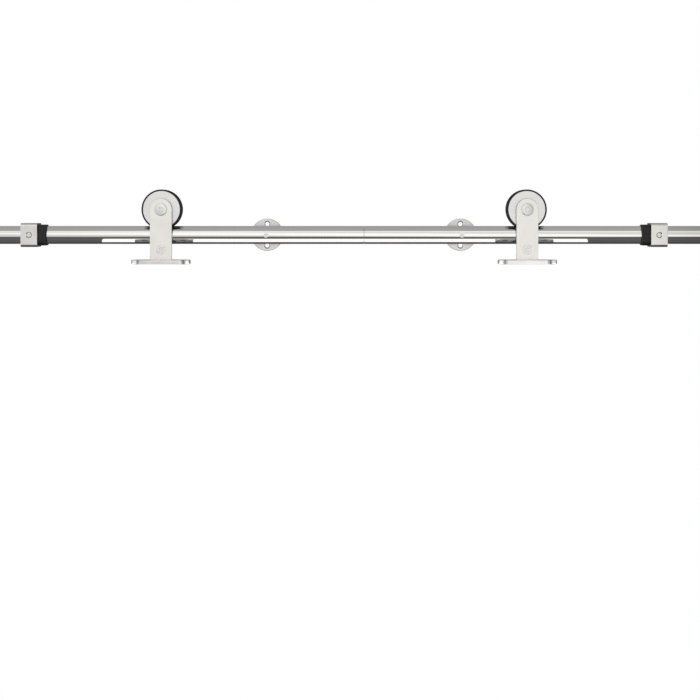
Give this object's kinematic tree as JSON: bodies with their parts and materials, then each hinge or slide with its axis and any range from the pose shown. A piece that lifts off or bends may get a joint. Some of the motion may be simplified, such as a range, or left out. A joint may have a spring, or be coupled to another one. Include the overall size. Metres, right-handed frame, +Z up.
{
  "type": "sliding barn door hardware",
  "caption": "Top-mount sliding door track: a round wall-mounted rail, strap hangers with grooved wheels and foot plates, and clamped end stops with rubber bumpers.",
  "frame": {"origin": "on the wall, behind the joint of the two rail tubes and level with the rail's axis", "axes": "+X along the rail to the right seen from the room, +Y into the wall, +Z up"},
  "size_m": [1.5068, 0.063, 0.1031],
  "materials": {
    "satin_steel": "satin brushed stainless steel",
    "polished_tube": "polished stainless tube, drawn lengthwise",
    "turned_steel": "turned stainless fasteners",
    "bearing_steel": "ground steel, hidden inside",
    "black_nylon": "moulded black nylon, satin",
    "black_rubber": "moulded black rubber, matt"
  },
  "bodies": {
    "rail_assembly": {"rail_tube_left": "polished_tube", "rail_tube_right": "polished_tube", "rail_joiner": "bearing_steel", "joiner_screw_left": "turned_steel", "rail_end_plug_left": "satin_steel", "joiner_screw_right": "turned_steel", "rail_end_plug_right": "satin_steel", "wall_flange_far_left": "satin_steel", "standoff_far_left": "satin_steel", "rail_bolt_far_left": "turned_steel", "wall_flange_left": "satin_steel", "standoff_left": "satin_steel", "rail_bolt_left": "turned_steel", "wall_flange_right": "satin_steel", "standoff_right": "satin_steel", "rail_bolt_right": "turned_steel", "wall_flange_far_right": "satin_steel", "standoff_far_right": "satin_steel", "rail_bolt_far_right": "turned_steel"},
    "left_hanger": {"left_strap": "satin_steel", "left_foot_plate": "satin_steel", "left_axle_bolt": "turned_steel", "left_front_spacer": "satin_steel", "left_rear_spacer": "satin_steel", "left_axle_nut": "turned_steel", "left_bearing_inner_race": "bearing_steel", "left_anti_jump_pin": "satin_steel", "left_anti_jump_bolt": "turned_steel"},
    "left_wheel": {"left_wheel_core": "black_nylon", "left_wheel_disc_front": "satin_steel", "left_wheel_disc_rear": "satin_steel", "left_bearing_outer_race": "bearing_steel", "left_bearing_ball_ring": "bearing_steel"},
    "left_stop": {"left_stop_block": "satin_steel", "left_stop_bumper": "black_rubber", "left_stop_screw": "turned_steel"},
    "right_hanger": {"right_strap": "satin_steel", "right_foot_plate": "satin_steel", "right_axle_bolt": "turned_steel", "right_front_spacer": "satin_steel", "right_rear_spacer": "satin_steel", "right_axle_nut": "turned_steel", "right_bearing_inner_race": "bearing_steel", "right_anti_jump_pin": "satin_steel", "right_anti_jump_bolt": "turned_steel"},
    "right_wheel": {"right_wheel_core": "black_nylon", "right_wheel_disc_front": "satin_steel", "right_wheel_disc_rear": "satin_steel", "right_bearing_outer_race": "bearing_steel", "right_bearing_ball_ring": "bearing_steel"},
    "right_stop": {"right_stop_block": "satin_steel", "right_stop_bumper": "black_rubber", "right_stop_screw": "turned_steel"}
  },
  "joints": [
    {"name": "left_hanger_slide", "type": "slide", "parent": "rail_assembly", "child": "left_hanger", "axis": [1, 0, 0], "range_m": [-0.14, 0.14]},
    {"name": "left_wheel_spin", "type": "hinge", "parent": "left_hanger", "child": "left_wheel", "pos_m": [-0.28, -0.03, 0.0354], "axis": [0, 1, 0], "continuous": true},
    {"name": "right_hanger_slide", "type": "slide", "parent": "rail_assembly", "child": "right_hanger", "axis": [1, 0, 0], "range_m": [-0.14, 0.14]},
    {"name": "right_wheel_spin", "type": "hinge", "parent": "right_hanger", "child": "right_wheel", "pos_m": [0.225, -0.03, 0.0354], "axis": [0, 1, 0], "continuous": true},
    {"name": "left_stop_slide", "type": "slide", "parent": "rail_assembly", "child": "left_stop", "axis": [-1, 0, 0], "range_m": [0, 0.13]},
    {"name": "right_stop_slide", "type": "slide", "parent": "rail_assembly", "child": "right_stop", "axis": [1, 0, 0], "range_m": [0, 0.185]}
  ],
  "couplings": [
    {"joint": "left_wheel_spin", "follows": "left_hanger_slide", "rad_per_m": 44.248},
    {"joint": "right_wheel_spin", "follows": "right_hanger_slide", "rad_per_m": 44.248}
  ]
}
